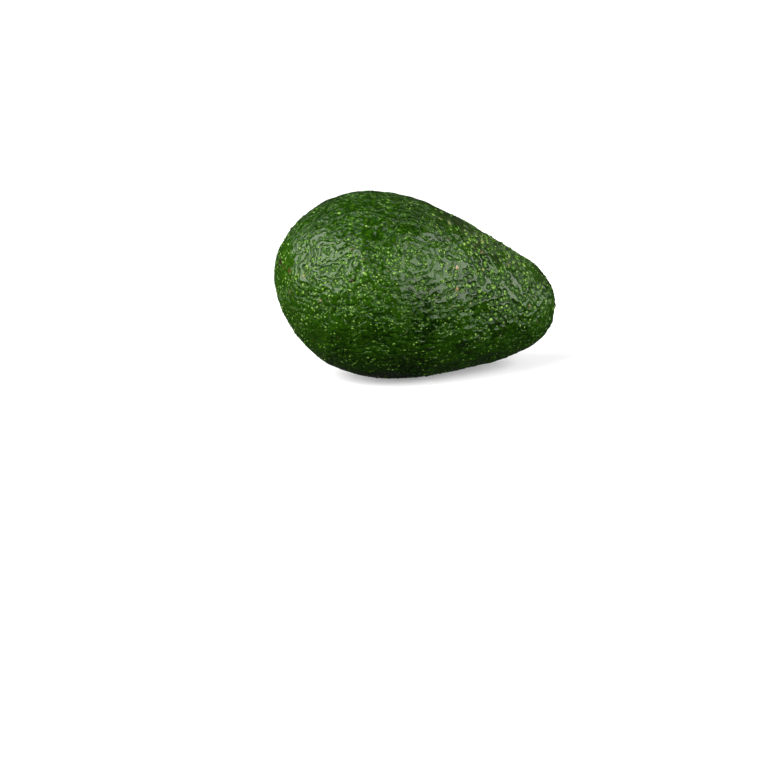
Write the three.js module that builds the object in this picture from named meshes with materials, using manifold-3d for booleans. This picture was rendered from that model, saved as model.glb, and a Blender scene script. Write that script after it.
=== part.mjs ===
// A whole avocado lying on its side, with its pebbled skin and the stem button still in place.
// Units are millimetres and +Z is up. The fruit's long axis lies in the XZ plane, the stem end is
// towards +X and lower than the blunt end, and the origin is the middle of the small flat spot
// that the fruit rests on.
import * as THREE from "three";
import { ConvexHull } from "three/addons/math/ConvexHull.js";
import { mergeVertices } from "three/addons/utils/BufferGeometryUtils.js";
import Module from "manifold-3d";

// The fruit's form, in its own frame: the long axis is X, with the stem end at +X.
const HALF_LENGTH = 54.9;
// Radius at mid length, and what its first, second and third powers add towards the stem end.
const GIRTH = [31.7, -12.2, 0.7, 9.0];
const WIDTH_RATIO = 1.03; // the fruit is a little wider than it is tall
const BEND = 1.6; // how far the middle of the long axis sags below its ends
const LUMP_HEIGHT = 0.3; // slow unevenness of the flesh under the skin
const LUMP_WAVES = [0.29, 0.24, 0.31]; // radians per millimetre along X, Y and Z

// The hollow round the stem, and the socket in its middle that holds the button.
const HOLLOW_DEPTH = 3.2;
const HOLLOW_RADIUS = 6.5;
const SOCKET_RADIUS = 5.3;
const SOCKET_DEPTH = 2.6;
const SEAT_GAP = 0.3;

// The pebbles of the skin, drawn larger than life.
const PEBBLES = 640;
const PEBBLE_STEEPNESS = 0.24; // height over the distance from the top to the nearest valley
const PEBBLE_UNEVENNESS = 0.45; // share of the height that the lowest ones lack
const SHOULDER_PLACE = 0.5; // from the top to the valley
const SHOULDER_HEIGHT = 0.76; // share of the pebble's height
const VALLEY_DEPTH = 0.2;
const PEBBLE_JITTER = 0.06; // radians
const EVENING_PASSES = 3;
const GOLDEN_ANGLE = Math.PI * (3 - Math.sqrt(5));

// How it lies: the stem end low, so that its weight is over the flat spot.
const REST_TILT = THREE.MathUtils.degToRad(13.8);
const REST_PRESS = 0.32; // depth of the flat spot

// The stem button, as radius and height above the floor of the hollow.
const BUTTON_RADIUS = SOCKET_RADIUS - SEAT_GAP;
const BUTTON_FOOT = SEAT_GAP - SOCKET_DEPTH;
const BUTTON_SIDE_TOP = 1.05;
const BUTTON_EDGE = 0.55; // radius of its rounded upper edge
const SCAR_RADIUS = 3.5;
const SCAR_DEPTH = 0.35;
const NUB_RADIUS = 1.5;
const NUB_HEIGHT = 0.5;
const SCAR_OFFSET = 0.8; // the scar sits off the button's middle
const BUTTON_SIDES = 32;

const random = THREE.MathUtils.seededRandom;
random(7);

const wasm = await Module();
wasm.setup();

// Radius of the round section, where c is 1 at the stem end and -1 at the blunt end.
function girthAt(c) {
  return GIRTH.reduce((sum, part, power) => sum + part * c ** power, 0);
}

// Distance of a skin point from the line through the stem, or infinity on the blunt half.
function distanceFromStem(u) {
  if (u.x <= 0) return Infinity;
  const girth = girthAt(u.x);
  return Math.hypot(WIDTH_RATIO * girth * u.y, girth * u.z + BEND * (u.x ** 2 - 1));
}

// The smooth skin: u is a direction from the middle of the fruit, of length 1.
function skinAt(u) {
  const girth = girthAt(u.x);
  const hollow = HOLLOW_DEPTH * Math.exp(-((distanceFromStem(u) / HOLLOW_RADIUS) ** 2));
  return new THREE.Vector3(
    HALF_LENGTH * u.x - hollow,
    WIDTH_RATIO * girth * u.y,
    girth * u.z + BEND * (u.x ** 2 - 1 / 3),
  );
}

// The outward normal of the smooth skin, from four points close by.
function normalAt(u) {
  const step = 1e-3;
  const helper = new THREE.Vector3(Math.abs(u.x) < 0.9 ? 1 : 0, Math.abs(u.x) < 0.9 ? 0 : 1, 0);
  const first = u.clone().cross(helper).normalize();
  const second = u.clone().cross(first);
  const slope = (tangent) => {
    const ahead = skinAt(u.clone().addScaledVector(tangent, step).normalize());
    return ahead.sub(skinAt(u.clone().addScaledVector(tangent, -step).normalize()));
  };
  return slope(first).cross(slope(second)).normalize();
}

function lumpAt(point) {
  const [x, y, z] = LUMP_WAVES;
  return LUMP_HEIGHT * Math.sin(x * point.x + 1) * Math.cos(y * point.y) * Math.sin(z * point.z + 2);
}

// From the fruit's own frame to the resting one: tilted, then set down on its lowest point.
function restingFrame() {
  const tilt = new THREE.Matrix4().makeRotationY(REST_TILT);
  let lowest = new THREE.Vector3(0, 0, Infinity);
  for (let angle = 0; angle < Math.PI; angle += 0.002) {
    const under = skinAt(new THREE.Vector3(Math.cos(angle), 0, -Math.sin(angle))).applyMatrix4(tilt);
    if (under.z < lowest.z) lowest = under;
  }
  return new THREE.Matrix4()
    .makeTranslation(-lowest.x, 0, -lowest.z - REST_PRESS)
    .multiply(tilt);
}

// Polar angles, from the stem end, that share the skin's area out evenly.
function evenAngles(count) {
  const steps = 4000;
  const ring = (i) => {
    const angle = (Math.PI * i) / steps;
    const c = Math.cos(angle);
    return new THREE.Vector2(HALF_LENGTH * c, girthAt(c) * Math.sin(angle));
  };
  const areaTo = [0];
  for (let i = 0; i < steps; i += 1) {
    const [a, b] = [ring(i), ring(i + 1)];
    areaTo.push(areaTo[i] + a.distanceTo(b) * (a.y + b.y));
  }
  const angles = [];
  let i = 0;
  for (let n = 0; n < count; n += 1) {
    const wanted = ((n + 0.5) / count) * areaTo[steps];
    while (areaTo[i] < wanted) i += 1;
    angles.push((Math.PI * i) / steps);
  }
  return angles;
}

// The pebbles' tops on an ellipsoid of the fruit's size: a golden-angle spiral, each top a little
// out of its place, and then evened out.
function pebbleTops(size) {
  let tops = evenAngles(PEBBLES).map((angle, n) => {
    const top = new THREE.Vector3().setFromSphericalCoords(1, angle, n * GOLDEN_ANGLE);
    top.set(top.y, top.x, top.z);
    top.x += PEBBLE_JITTER * (2 * random() - 1);
    top.y += PEBBLE_JITTER * (2 * random() - 1);
    top.z += PEBBLE_JITTER * (2 * random() - 1);
    return top.normalize().multiply(size);
  });
  for (let pass = 0; pass < EVENING_PASSES; pass += 1) {
    const middles = new Map(tops.map((top) => [top, top.clone()]));
    for (const side of new ConvexHull().setFromPoints(tops).faces.flatMap(sidesOf)) {
      middles.get(side.head().point).add(side.tail().point);
    }
    tops = tops.map((top) => middles.get(top).divide(size).normalize().multiply(size));
  }
  return tops;
}

function sidesOf(face) {
  return [face.edge, face.edge.next, face.edge.next.next];
}

// The skin's relief: each pebble is a low dome with a top and a ring of shoulders, and its edge is
// the line of the valleys, which lie in the middle of every three tops.
function pebbledSkin(resting) {
  const radius = girthAt(0);
  const size = new THREE.Vector3(HALF_LENGTH, radius, radius);
  const hull = new ConvexHull().setFromPoints(pebbleTops(size));

  const directionOf = (onEllipsoid) => onEllipsoid.clone().divide(size).normalize();
  const onSkin = (onEllipsoid) => skinAt(directionOf(onEllipsoid));
  const vertices = [];
  const addVertex = (onEllipsoid, lift) => {
    const u = directionOf(onEllipsoid);
    const smooth = skinAt(u);
    const height = smooth.clone().applyMatrix4(resting).z;
    const fade =
      THREE.MathUtils.smoothstep(distanceFromStem(u), HOLLOW_RADIUS, 2 * HOLLOW_RADIUS) *
      THREE.MathUtils.smoothstep(height, 2 * REST_PRESS, 8 * REST_PRESS);
    const point = smooth.addScaledVector(normalAt(u), fade * (lift + lumpAt(smooth)));
    point.applyMatrix4(resting);
    point.z = Math.max(point.z, 0);
    vertices.push(point.x, point.y, point.z);
    return vertices.length / 3 - 1;
  };

  const roomOf = new Map();
  for (const side of hull.faces.flatMap(sidesOf)) {
    const top = side.tail().point;
    const room = onSkin(top).distanceTo(onSkin(side.face.midpoint));
    roomOf.set(top, Math.min(room, roomOf.get(top) ?? Infinity));
  }
  const pebbleOf = new Map();
  for (const [top, room] of roomOf) {
    const height = PEBBLE_STEEPNESS * room * (1 - PEBBLE_UNEVENNESS * random());
    pebbleOf.set(top, { height, index: addVertex(top, height) });
  }
  const valleyOf = new Map();
  const shoulderOf = new Map();
  for (const face of hull.faces) {
    valleyOf.set(face, addVertex(face.midpoint, -VALLEY_DEPTH * random()));
    for (const side of sidesOf(face)) {
      const top = side.tail().point;
      const shoulder = top.clone().lerp(face.midpoint, SHOULDER_PLACE);
      shoulderOf.set(side, addVertex(shoulder, SHOULDER_HEIGHT * pebbleOf.get(top).height));
    }
  }

  const triangles = [];
  for (const side of shoulderOf.keys()) {
    const top = pebbleOf.get(side.tail().point).index;
    const [left, right] = [shoulderOf.get(side), shoulderOf.get(side.twin.next)];
    const [leftValley, rightValley] = [valleyOf.get(side.face), valleyOf.get(side.twin.face)];
    triangles.push(top, right, left);
    triangles.push(left, right, rightValley);
    triangles.push(left, rightValley, leftValley);
  }
  return new THREE.BufferGeometry()
    .setAttribute("position", new THREE.Float32BufferAttribute(vertices, 3))
    .setIndex(triangles);
}

function solidFrom(geometry) {
  const bare = new THREE.BufferGeometry()
    .setAttribute("position", geometry.getAttribute("position"))
    .setIndex(geometry.index);
  const merged = mergeVertices(bare, 1e-4);
  return new wasm.Manifold(
    new wasm.Mesh({
      numProp: 3,
      vertProperties: new Float32Array(merged.attributes.position.array),
      triVerts: new Uint32Array(merged.index.array),
    }),
  );
}

function geometryFrom(solid) {
  const mesh = solid.getMesh();
  return new THREE.BufferGeometry()
    .setAttribute("position", new THREE.BufferAttribute(mesh.vertProperties, mesh.numProp))
    .setIndex(new THREE.BufferAttribute(mesh.triVerts, 1));
}

// From a lathe's frame, with its axis along +Y and its zero on the hollow's floor, to the fruit's.
function stemFrame(resting) {
  const tip = skinAt(new THREE.Vector3(1, 0, 0));
  return resting
    .clone()
    .multiply(new THREE.Matrix4().makeTranslation(tip))
    .multiply(new THREE.Matrix4().makeRotationZ(-Math.PI / 2));
}

// What is cut out of the fruit for the button.
function socketCutter() {
  const mouth = HOLLOW_DEPTH; // well above the skin
  const profile = [
    new THREE.Vector2(0, -SOCKET_DEPTH),
    new THREE.Vector2(SOCKET_RADIUS - SEAT_GAP, -SOCKET_DEPTH),
    new THREE.Vector2(SOCKET_RADIUS, SEAT_GAP - SOCKET_DEPTH),
    new THREE.Vector2(SOCKET_RADIUS, mouth),
    new THREE.Vector2(0, mouth),
  ];
  return new THREE.LatheGeometry(profile, BUTTON_SIDES);
}

// The button: a short round plug whose face carries the ringed scar of the broken stem.
function buttonGeometry() {
  const side = BUTTON_RADIUS - SEAT_GAP;
  const profile = [
    new THREE.Vector2(0, BUTTON_FOOT),
    new THREE.Vector2(side - 0.4, BUTTON_FOOT),
    new THREE.Vector2(side, BUTTON_FOOT + 0.8),
    new THREE.Vector2(BUTTON_RADIUS, 0),
    new THREE.Vector2(BUTTON_RADIUS, BUTTON_SIDE_TOP - BUTTON_EDGE),
  ];
  for (const turn of [30, 60, 90].map(THREE.MathUtils.degToRad)) {
    profile.push(
      new THREE.Vector2(
        BUTTON_RADIUS - BUTTON_EDGE * (1 - Math.cos(turn)),
        BUTTON_SIDE_TOP - BUTTON_EDGE * (1 - Math.sin(turn)),
      ),
    );
  }
  profile.push(
    new THREE.Vector2(SCAR_RADIUS + 0.3, BUTTON_SIDE_TOP + 0.1),
    new THREE.Vector2(SCAR_RADIUS, BUTTON_SIDE_TOP - SCAR_DEPTH),
    new THREE.Vector2((SCAR_RADIUS + NUB_RADIUS) / 2, BUTTON_SIDE_TOP),
    new THREE.Vector2(NUB_RADIUS, BUTTON_SIDE_TOP - SCAR_DEPTH / 2),
    new THREE.Vector2(NUB_RADIUS * 0.7, BUTTON_SIDE_TOP + NUB_HEIGHT),
    new THREE.Vector2(0, BUTTON_SIDE_TOP + NUB_HEIGHT * 1.2),
  );
  const lathe = new THREE.LatheGeometry(profile, BUTTON_SIDES);
  const position = lathe.getAttribute("position");
  for (let i = 0; i < position.count; i += 1) {
    const fromMiddle = Math.hypot(position.getX(i), position.getZ(i)) / BUTTON_RADIUS;
    const onFace = THREE.MathUtils.smoothstep(position.getY(i), 0, BUTTON_SIDE_TOP - SCAR_DEPTH);
    position.setX(i, position.getX(i) + SCAR_OFFSET * onFace * (1 - fromMiddle ** 2));
  }
  return lathe;
}

function finished(name, geometry, material) {
  geometry.computeVertexNormals();
  const mesh = new THREE.Mesh(geometry, material);
  mesh.name = name;
  return mesh;
}

const skinGreen = new THREE.MeshStandardMaterial({ color: 0x2c5e17, roughness: 0.32, metalness: 0 });
const corkBrown = new THREE.MeshStandardMaterial({ color: 0xa9742c, roughness: 0.7, metalness: 0 });

const resting = restingFrame();
const intoPlace = stemFrame(resting);
const socket = solidFrom(socketCutter().applyMatrix4(intoPlace));
const fruit = solidFrom(pebbledSkin(resting)).subtract(socket);

const avocado = new THREE.Group();
avocado.name = "avocado";
avocado.add(finished("fruit", geometryFrom(fruit), skinGreen));
const button = finished("stem_button", buttonGeometry(), corkBrown);
button.applyMatrix4(intoPlace);
avocado.add(button);

export default avocado;
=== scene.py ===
# %% [markdown]
# # A whole avocado
# One avocado lies on its side on a pale table. Its skin is glossy and dark green, and it is covered
# with small raised yellow-green dots, the lenticels, through which the fruit breathes. At the narrow
# end the skin dips into a hollow with the corky stub of the stem in it.
#
# The plain solids of the fruit and of the stub are already in the frame. This lesson dresses them:
# the skin, the lenticels and the stub are made again with all their detail, on the same form.

# %% Load the frame
import math

import bmesh
import bpy
import numpy as np
from mathutils import Matrix, Vector, noise


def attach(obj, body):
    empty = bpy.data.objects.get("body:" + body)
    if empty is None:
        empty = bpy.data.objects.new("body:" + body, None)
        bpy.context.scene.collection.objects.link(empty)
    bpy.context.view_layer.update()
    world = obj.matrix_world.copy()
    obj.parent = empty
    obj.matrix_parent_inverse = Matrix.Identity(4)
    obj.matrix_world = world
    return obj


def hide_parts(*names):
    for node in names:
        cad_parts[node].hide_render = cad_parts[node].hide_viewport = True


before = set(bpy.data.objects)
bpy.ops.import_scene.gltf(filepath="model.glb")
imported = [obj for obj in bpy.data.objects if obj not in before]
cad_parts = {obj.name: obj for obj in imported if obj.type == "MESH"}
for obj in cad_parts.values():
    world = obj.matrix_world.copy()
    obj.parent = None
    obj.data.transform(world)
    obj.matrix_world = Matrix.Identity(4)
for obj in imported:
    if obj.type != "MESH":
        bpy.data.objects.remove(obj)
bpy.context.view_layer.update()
MM = 0.001

# %% [markdown]
# ## The form of the fruit
# An avocado is close to a ball that is stretched along its stem, with a girth that shrinks towards
# the stem end. So a point of the skin follows from a direction: its share along the stem, called c,
# gives the radius there as a polynomial. The numbers are those of the solid, so both agree.

# %% Measures of the form, in millimetres
HALF_LENGTH = 54.9
GIRTH = (31.7, -12.2, 0.7, 9.0)
WIDTH_RATIO = 1.03
BEND = 1.6
LUMP_HEIGHT = 0.3
LUMP_WAVES = (0.29, 0.24, 0.31)
HOLLOW_DEPTH = 3.2
HOLLOW_RADIUS = 6.5
SOCKET_RADIUS = 5.3
SOCKET_DEPTH = 2.2
REST_TILT = math.radians(13.8)
REST_PRESS = 0.32
FAR_AWAY = 1000.0


def girth_at(c):
    return sum(part * c**power for power, part in enumerate(GIRTH))


def skin_at(directions):
    """Points of the smooth skin, and their distance from the line through the stem."""
    c, side, height = directions.T
    girth = girth_at(c)
    across = WIDTH_RATIO * girth * side
    up = girth * height
    from_stem = np.where(c > 0, np.hypot(across, up + BEND * (c**2 - 1)), FAR_AWAY)
    hollow = HOLLOW_DEPTH * np.exp(-((from_stem / HOLLOW_RADIUS) ** 2))
    points = np.column_stack((HALF_LENGTH * c - hollow, across, up + BEND * (c**2 - 1 / 3)))
    return points, from_stem


def tilted(points):
    """The fruit lies with its stem end low: a turn about Y."""
    x, y, z = points.T
    cos, sin = math.cos(REST_TILT), math.sin(REST_TILT)
    return np.column_stack((x * cos + z * sin, y, z * cos - x * sin))


underside = np.linspace(0, math.pi, 2000)
rim = tilted(skin_at(np.column_stack((np.cos(underside), 0 * underside, -np.sin(underside))))[0])
lowest = rim[rim[:, 2].argmin()]
fruit_middle = np.array((-lowest[0], 0, -lowest[2] - REST_PRESS))
print("middle of the fruit in mm:", fruit_middle.round(2))

# %% [markdown]
# ## The camera
# The photograph looks at the fruit from a little above and from the side of its blunt end. A long
# lens keeps its proportions calm. The fruit's middle lies right of and above the picture's middle.

# %% Camera
CAMERA_AZIMUTH = math.radians(-22)
CAMERA_ELEVATION = math.radians(12)
CAMERA_DISTANCE = 900
SENSOR_WIDTH = 36
PICTURE_SIZE = 780
MM_PER_PIXEL = 0.365
MIDDLE_IN_PICTURE = (417.9, 290.3)

camera_back = Vector(
    (
        math.sin(CAMERA_AZIMUTH) * math.cos(CAMERA_ELEVATION),
        -math.cos(CAMERA_AZIMUTH) * math.cos(CAMERA_ELEVATION),
        math.sin(CAMERA_ELEVATION),
    )
)
camera_right = Vector((math.cos(CAMERA_AZIMUTH), math.sin(CAMERA_AZIMUTH), 0))
camera_up = camera_back.cross(camera_right)
middle = Vector(fruit_middle) * MM
aim = (
    middle
    + camera_right * (PICTURE_SIZE / 2 - MIDDLE_IN_PICTURE[0]) * MM_PER_PIXEL * MM
    - camera_up * (PICTURE_SIZE / 2 - MIDDLE_IN_PICTURE[1]) * MM_PER_PIXEL * MM
)
camera_data = bpy.data.cameras.new("camera")
camera_data.sensor_width = SENSOR_WIDTH
camera_data.lens = SENSOR_WIDTH * CAMERA_DISTANCE / (PICTURE_SIZE * MM_PER_PIXEL)
camera = bpy.data.objects.new("camera", camera_data)
bpy.context.collection.objects.link(camera)
camera.location = middle + camera_back * CAMERA_DISTANCE * MM
camera.rotation_mode = "QUATERNION"
camera.rotation_quaternion = (aim - camera.location).to_track_quat("-Z", "Y")
bpy.context.scene.camera = camera
print("lens in mm:", round(camera_data.lens, 1))

# %% [markdown]
# ## Helpers for node trees
# Materials and Geometry Nodes are both trees of nodes. One helper adds a node and fills its
# sockets, with plain values or with the outputs of other nodes. The others shorten sums, products,
# ramps and mixes, so that a formula in a tree can be read as one.


# %% Node helpers
def add(tree, kind, inputs=None, **settings):
    node = tree.nodes.new(kind)
    for name, value in settings.items():
        setattr(node, name, value)
    for name, value in (inputs or {}).items():
        socket = node.inputs[name]
        if isinstance(value, bpy.types.NodeSocket):
            tree.links.new(value, socket)
        else:
            socket.default_value = value
    return node


def maths(tree, operation, *values, clamp=False):
    inputs = dict(enumerate(values))
    return add(tree, "ShaderNodeMath", inputs, operation=operation, use_clamp=clamp).outputs[0]


def product(tree, *values):
    so_far = values[0]
    for value in values[1:]:
        so_far = maths(tree, "MULTIPLY", so_far, value)
    return so_far


def total(tree, *values):
    so_far = values[0]
    for value in values[1:]:
        so_far = maths(tree, "ADD", so_far, value)
    return so_far


def vector_maths(tree, operation, first, second=None, scale=None):
    inputs = {0: first, 1: second, "Scale": scale}
    inputs = {name: value for name, value in inputs.items() if value is not None}
    outputs = add(tree, "ShaderNodeVectorMath", inputs, operation=operation).outputs
    gives_number = operation in ("LENGTH", "DISTANCE", "DOT_PRODUCT")
    return outputs["Value" if gives_number else "Vector"]


def metres(band):
    """The two ends of a band in millimetres, in metres."""
    return [limit * MM for limit in band]


def remap(tree, value, low, high, to_low=0.0, to_high=1.0, smooth=True):
    inputs = {"Value": value, "From Min": low, "From Max": high, "To Min": to_low, "To Max": to_high}
    kind = "SMOOTHSTEP" if smooth else "LINEAR"
    return add(tree, "ShaderNodeMapRange", inputs, interpolation_type=kind).outputs["Result"]


def noise_at(tree, where, size_mm, detail=2.0, roughness=0.5, distortion=0.0):
    inputs = {"Vector": where, "Scale": 1 / (size_mm * MM), "Detail": detail}
    inputs.update({"Roughness": roughness, "Distortion": distortion})
    return add(tree, "ShaderNodeTexNoise", inputs).outputs[0]


def mix_colours(tree, share, first, second):
    node = add(tree, "ShaderNodeMix", {0: share}, data_type="RGBA")
    for socket, colour in zip((node.inputs[6], node.inputs[7]), (first, second)):
        if isinstance(colour, bpy.types.NodeSocket):
            tree.links.new(colour, socket)
        else:
            socket.default_value = (*colour, 1)
    return node.outputs[2]


def new_object(name, mesh):
    made = bpy.data.objects.new(name, mesh)
    bpy.context.collection.objects.link(made)
    return made


# %% [markdown]
# ## A fine, even mesh for the skin
# The relief needs points about half a millimetre apart everywhere. An icosahedron whose faces are
# cut into a triangular grid has no poles with crowded points. Each grid point is slid along the
# stem until the skin up to it has the same share of area as on the ball, so that the mesh is as
# dense on the neck as on the belly.

# %% Grid of directions
GRID_CUTS = 97
AREA_STEPS = 4001


def ball_grid(cuts):
    ball = bmesh.new()
    bmesh.ops.create_icosphere(ball, subdivisions=1, radius=1)
    bmesh.ops.subdivide_edges(ball, edges=ball.edges[:], cuts=cuts, use_grid_fill=True)
    bmesh.ops.recalc_face_normals(ball, faces=ball.faces[:])
    mesh = bpy.data.meshes.new("skin")
    ball.to_mesh(mesh)
    ball.free()
    return mesh


def even_directions(ball_points):
    """Directions on the fruit that share its area out as the points of the ball share the ball's."""
    polar = np.linspace(0, math.pi, AREA_STEPS)
    along = HALF_LENGTH * np.cos(polar)
    radius = girth_at(np.cos(polar)) * np.sin(polar)
    bands = np.hypot(np.diff(along), np.diff(radius)) * (radius[1:] + radius[:-1])
    area = np.concatenate(([0], np.cumsum(bands)))
    share = (1 - ball_points[:, 0]) / 2
    angle = np.interp(share * area[-1], area, polar)
    around = np.arctan2(ball_points[:, 2], ball_points[:, 1])
    off_axis = np.sin(angle)
    return np.column_stack((np.cos(angle), off_axis * np.cos(around), off_axis * np.sin(around)))


skin_mesh = ball_grid(GRID_CUTS)
flat = np.empty(len(skin_mesh.vertices) * 3)
skin_mesh.vertices.foreach_get("co", flat)
ball_points = flat.reshape(-1, 3)
ball_points /= np.linalg.norm(ball_points, axis=1)[:, None]
directions = even_directions(ball_points)
smooth_points, from_stem = skin_at(directions)
print("triangles of the skin:", len(skin_mesh.polygons))

# %% [markdown]
# The flesh has slow lumps, which fade out at the stem's hollow and where the fruit rests. The skin
# drops into the socket of the stub. Each point also keeps its distances from both ends and its turn
# round the stem, for the relief and the colours.

# %% Slow lumps of the flesh and the socket of the stub
SOCKET_WALL = (0.2, 0.3)

skin_mesh.vertices.foreach_set("co", smooth_points.ravel())
skin_mesh.update()
skin_mesh.vertex_normals.foreach_get("vector", flat)
normals = flat.reshape(-1, 3).copy()


def smoothstep(values, low, high):
    share = np.clip((values - low) / (high - low), 0, 1)
    return share * share * (3 - 2 * share)


heights = (tilted(smooth_points) + fruit_middle)[:, 2]
fade = smoothstep(from_stem, HOLLOW_RADIUS, 2 * HOLLOW_RADIUS)
fade *= smoothstep(heights, 2 * REST_PRESS, 8 * REST_PRESS)
wave = LUMP_WAVES * smooth_points
lumps = LUMP_HEIGHT * np.sin(wave[:, 0] + 1) * np.cos(wave[:, 1]) * np.sin(wave[:, 2] + 2)
points = smooth_points + normals * (lumps * fade)[:, None]
wall_outside, wall_inside = -SOCKET_RADIUS - SOCKET_WALL[0], -SOCKET_RADIUS + SOCKET_WALL[1]
points[:, 0] -= SOCKET_DEPTH * smoothstep(-from_stem, wall_outside, wall_inside)
points = (tilted(points) + fruit_middle) * MM
skin_mesh.vertices.foreach_set("co", points.ravel())
print("lumps in mm:", (lumps * fade).min().round(2), "to", (lumps * fade).max().round(2))

# %% What each point knows of its place
stem_tip, _ = skin_at(np.array(((1.0, 0, 0),)))
blossom_tip, _ = skin_at(np.array(((-1.0, 0, 0),)))
from_blossom = np.linalg.norm(smooth_points - blossom_tip, axis=1)
around_stem = np.arctan2(smooth_points[:, 2] - stem_tip[0, 2], smooth_points[:, 1])
for name, values in (
    ("from_stem", from_stem),
    ("from_blossom", from_blossom),
    ("stem_cos", np.cos(around_stem)),
    ("stem_sin", np.sin(around_stem)),
    ("relief_fade", fade),
):
    skin_mesh.attributes.new(name, "FLOAT", "POINT").data.foreach_set("value", values)
skin_mesh.shade_smooth()
skin_mesh.update()
edge_ends = np.empty(len(skin_mesh.edges) * 2, dtype=np.int32)
skin_mesh.edges.foreach_get("vertices", edge_ends)
edge_lengths = np.linalg.norm(points[edge_ends[::2]] - points[edge_ends[1::2]], axis=1) / MM
print("edges in mm: middling", np.median(edge_lengths).round(2), "longest", edge_lengths.max().round(2))

# %% [markdown]
# ## The relief
# Slow swellings, a centimetre or so apart, lie under the gloss. Over them run ragged creases, two or
# three millimetres apart, that part the skin into wavy plates. The creases follow rings round two
# places on the flank, pushed about by noise. Low on the neck the skin lies in short flat ledges, and
# round the stem in fine wrinkles that run out of the hollow like rays.
#
# On the neck each lenticel stands in an uneven pit of its own, with a net of raised skin between the
# pits. Small specks stand in rows in the creases. The tree scatters the lenticels first, presses the
# pits and scatters the specks last. It gives the skin, the lenticels or the specks, all from the same
# random places.

# %% One lenticel: a low dome with a few sides
DOME_RINGS = ((1.0, -0.5), (0.72, 0.68))
LENTICEL_SIDES = 7
SPECK_SIDES = 5


def dome_mesh(sides):
    dome = bmesh.new()
    up = dome.verts.layers.float.new("up")
    turns = [math.tau * i / sides for i in range(sides)]
    rings = []
    for radius, height in DOME_RINGS:
        rings.append([dome.verts.new((radius * math.cos(t), radius * math.sin(t), height)) for t in turns])
    top = dome.verts.new((0, 0, 1))
    for vertex in dome.verts:
        vertex[up] = vertex.co.z
    dome.faces.new(rings[0][::-1])
    for i in range(sides):
        j = (i + 1) % sides
        for low, high in zip(rings, rings[1:]):
            dome.faces.new((low[i], low[j], high[j], high[i]))
        dome.faces.new((rings[-1][i], rings[-1][j], top))
    mesh = bpy.data.meshes.new("dome")
    dome.to_mesh(mesh)
    dome.free()
    mesh.shade_smooth()
    return mesh


dome = new_object("dome", dome_mesh(LENTICEL_SIDES))
small_dome = new_object("small dome", dome_mesh(SPECK_SIDES))
print("faces of the domes:", len(dome.data.polygons), len(small_dome.data.polygons))

# %% [markdown]
# ### The tree and its inputs
# The heights and spacings of the relief are inputs of the tree, in millimetres, so that each can be
# tried out in the modifier. Part is 0 for the skin, 1 for the lenticels and 2 for the specks.

# %% An empty tree with its inputs
RELIEF_INPUTS = (
    ("Swell Size", 11.0),
    ("Swell Height", 0.6),
    ("Ripple Size", 4.6),
    ("Ripple Height", 0.9),
    ("Crease Spacing", 3.1),
    ("Crease Depth", 0.42),
    ("Wrinkle Height", 0.30),
    ("Lenticel Spacing", 2.35),
    ("Lenticel Radius", 0.42),
    ("Lenticel Height", 0.18),
    ("Pit Depth", 0.42),
    ("Speck Spacing", 0.9),
    ("Speck Radius", 0.33),
    ("Ledge Height", 1.2),
)
SEED = 11

relief = bpy.data.node_groups.new("Avocado relief", "GeometryNodeTree")
relief.interface.new_socket("Geometry", in_out="INPUT", socket_type="NodeSocketGeometry")
for name, value in RELIEF_INPUTS:
    socket = relief.interface.new_socket(name, in_out="INPUT", socket_type="NodeSocketFloat")
    socket.default_value = value
relief.interface.new_socket("Part", in_out="INPUT", socket_type="NodeSocketInt")
relief.interface.new_socket("Dome", in_out="INPUT", socket_type="NodeSocketObject")
relief.interface.new_socket("Material", in_out="INPUT", socket_type="NodeSocketMaterial")
relief.interface.new_socket("Geometry", in_out="OUTPUT", socket_type="NodeSocketGeometry")
given = relief.nodes.new("NodeGroupInput").outputs
result = relief.nodes.new("NodeGroupOutput")
place = add(relief, "GeometryNodeInputPosition").outputs[0]
normal = add(relief, "GeometryNodeInputNormal").outputs[0]
along_x, across_y, height_there = add(relief, "ShaderNodeSeparateXYZ", {0: place}).outputs
print("sizes that can be tried out:", len(RELIEF_INPUTS))


# %% Helpers of this tree
def stored(name):
    return add(relief, "GeometryNodeInputNamedAttribute", {"Name": name}).outputs["Attribute"]


def with_attribute(geometry, name, value, **settings):
    inputs = {"Geometry": geometry, "Name": name, "Value": value}
    return add(relief, "GeometryNodeStoreNamedAttribute", inputs, **settings).outputs[0]


def moved(geometry, offset):
    return add(relief, "GeometryNodeSetPosition", {"Geometry": geometry, "Offset": offset}).outputs[0]


def mm_to_m(value):
    return product(relief, value, MM)


def relief_noise(size, **inputs):
    """Noise between 0 and 1 whose bumps have a size in millimetres."""
    scale = maths(relief, "DIVIDE", 1 / MM, size)
    return add(relief, "ShaderNodeTexNoise", {"Vector": place, "Scale": scale, **inputs}).outputs


def swing(size, **inputs):
    """The same noise round zero, so that it lifts as much as it lowers."""
    return maths(relief, "SUBTRACT", relief_noise(size, **inputs)[0], 0.5)


def by_height(band, low=0.0, high=1.0):
    """Goes from low to high over a band of heights above the table, in millimetres."""
    return remap(relief, height_there, *metres(band), low, high)


def by_neck(on_belly, on_neck, **settings):
    return remap(relief, stored("neck"), 0, 1, on_belly, on_neck, **settings)


def random_between(low, high, seed):
    """A random number of its own for each point."""
    limits = {2: low, 3: high, "Seed": seed}
    return add(relief, "FunctionNodeRandomValue", limits, data_type="FLOAT").outputs[1]


# %% [markdown]
# ### Where the neck is
# Much of the relief changes on the neck. One value says how much of the neck's skin a place has: 0 on
# the belly and low down, 1 on the neck, and less again round the stem, where the skin is calmer.

# %% Share of the neck
NECK_ALONG = (3.0, 20.0)
NECK_HEIGHT = (15.0, 25.0)
CALM_ALONG = (34.0, 48.0)

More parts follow.
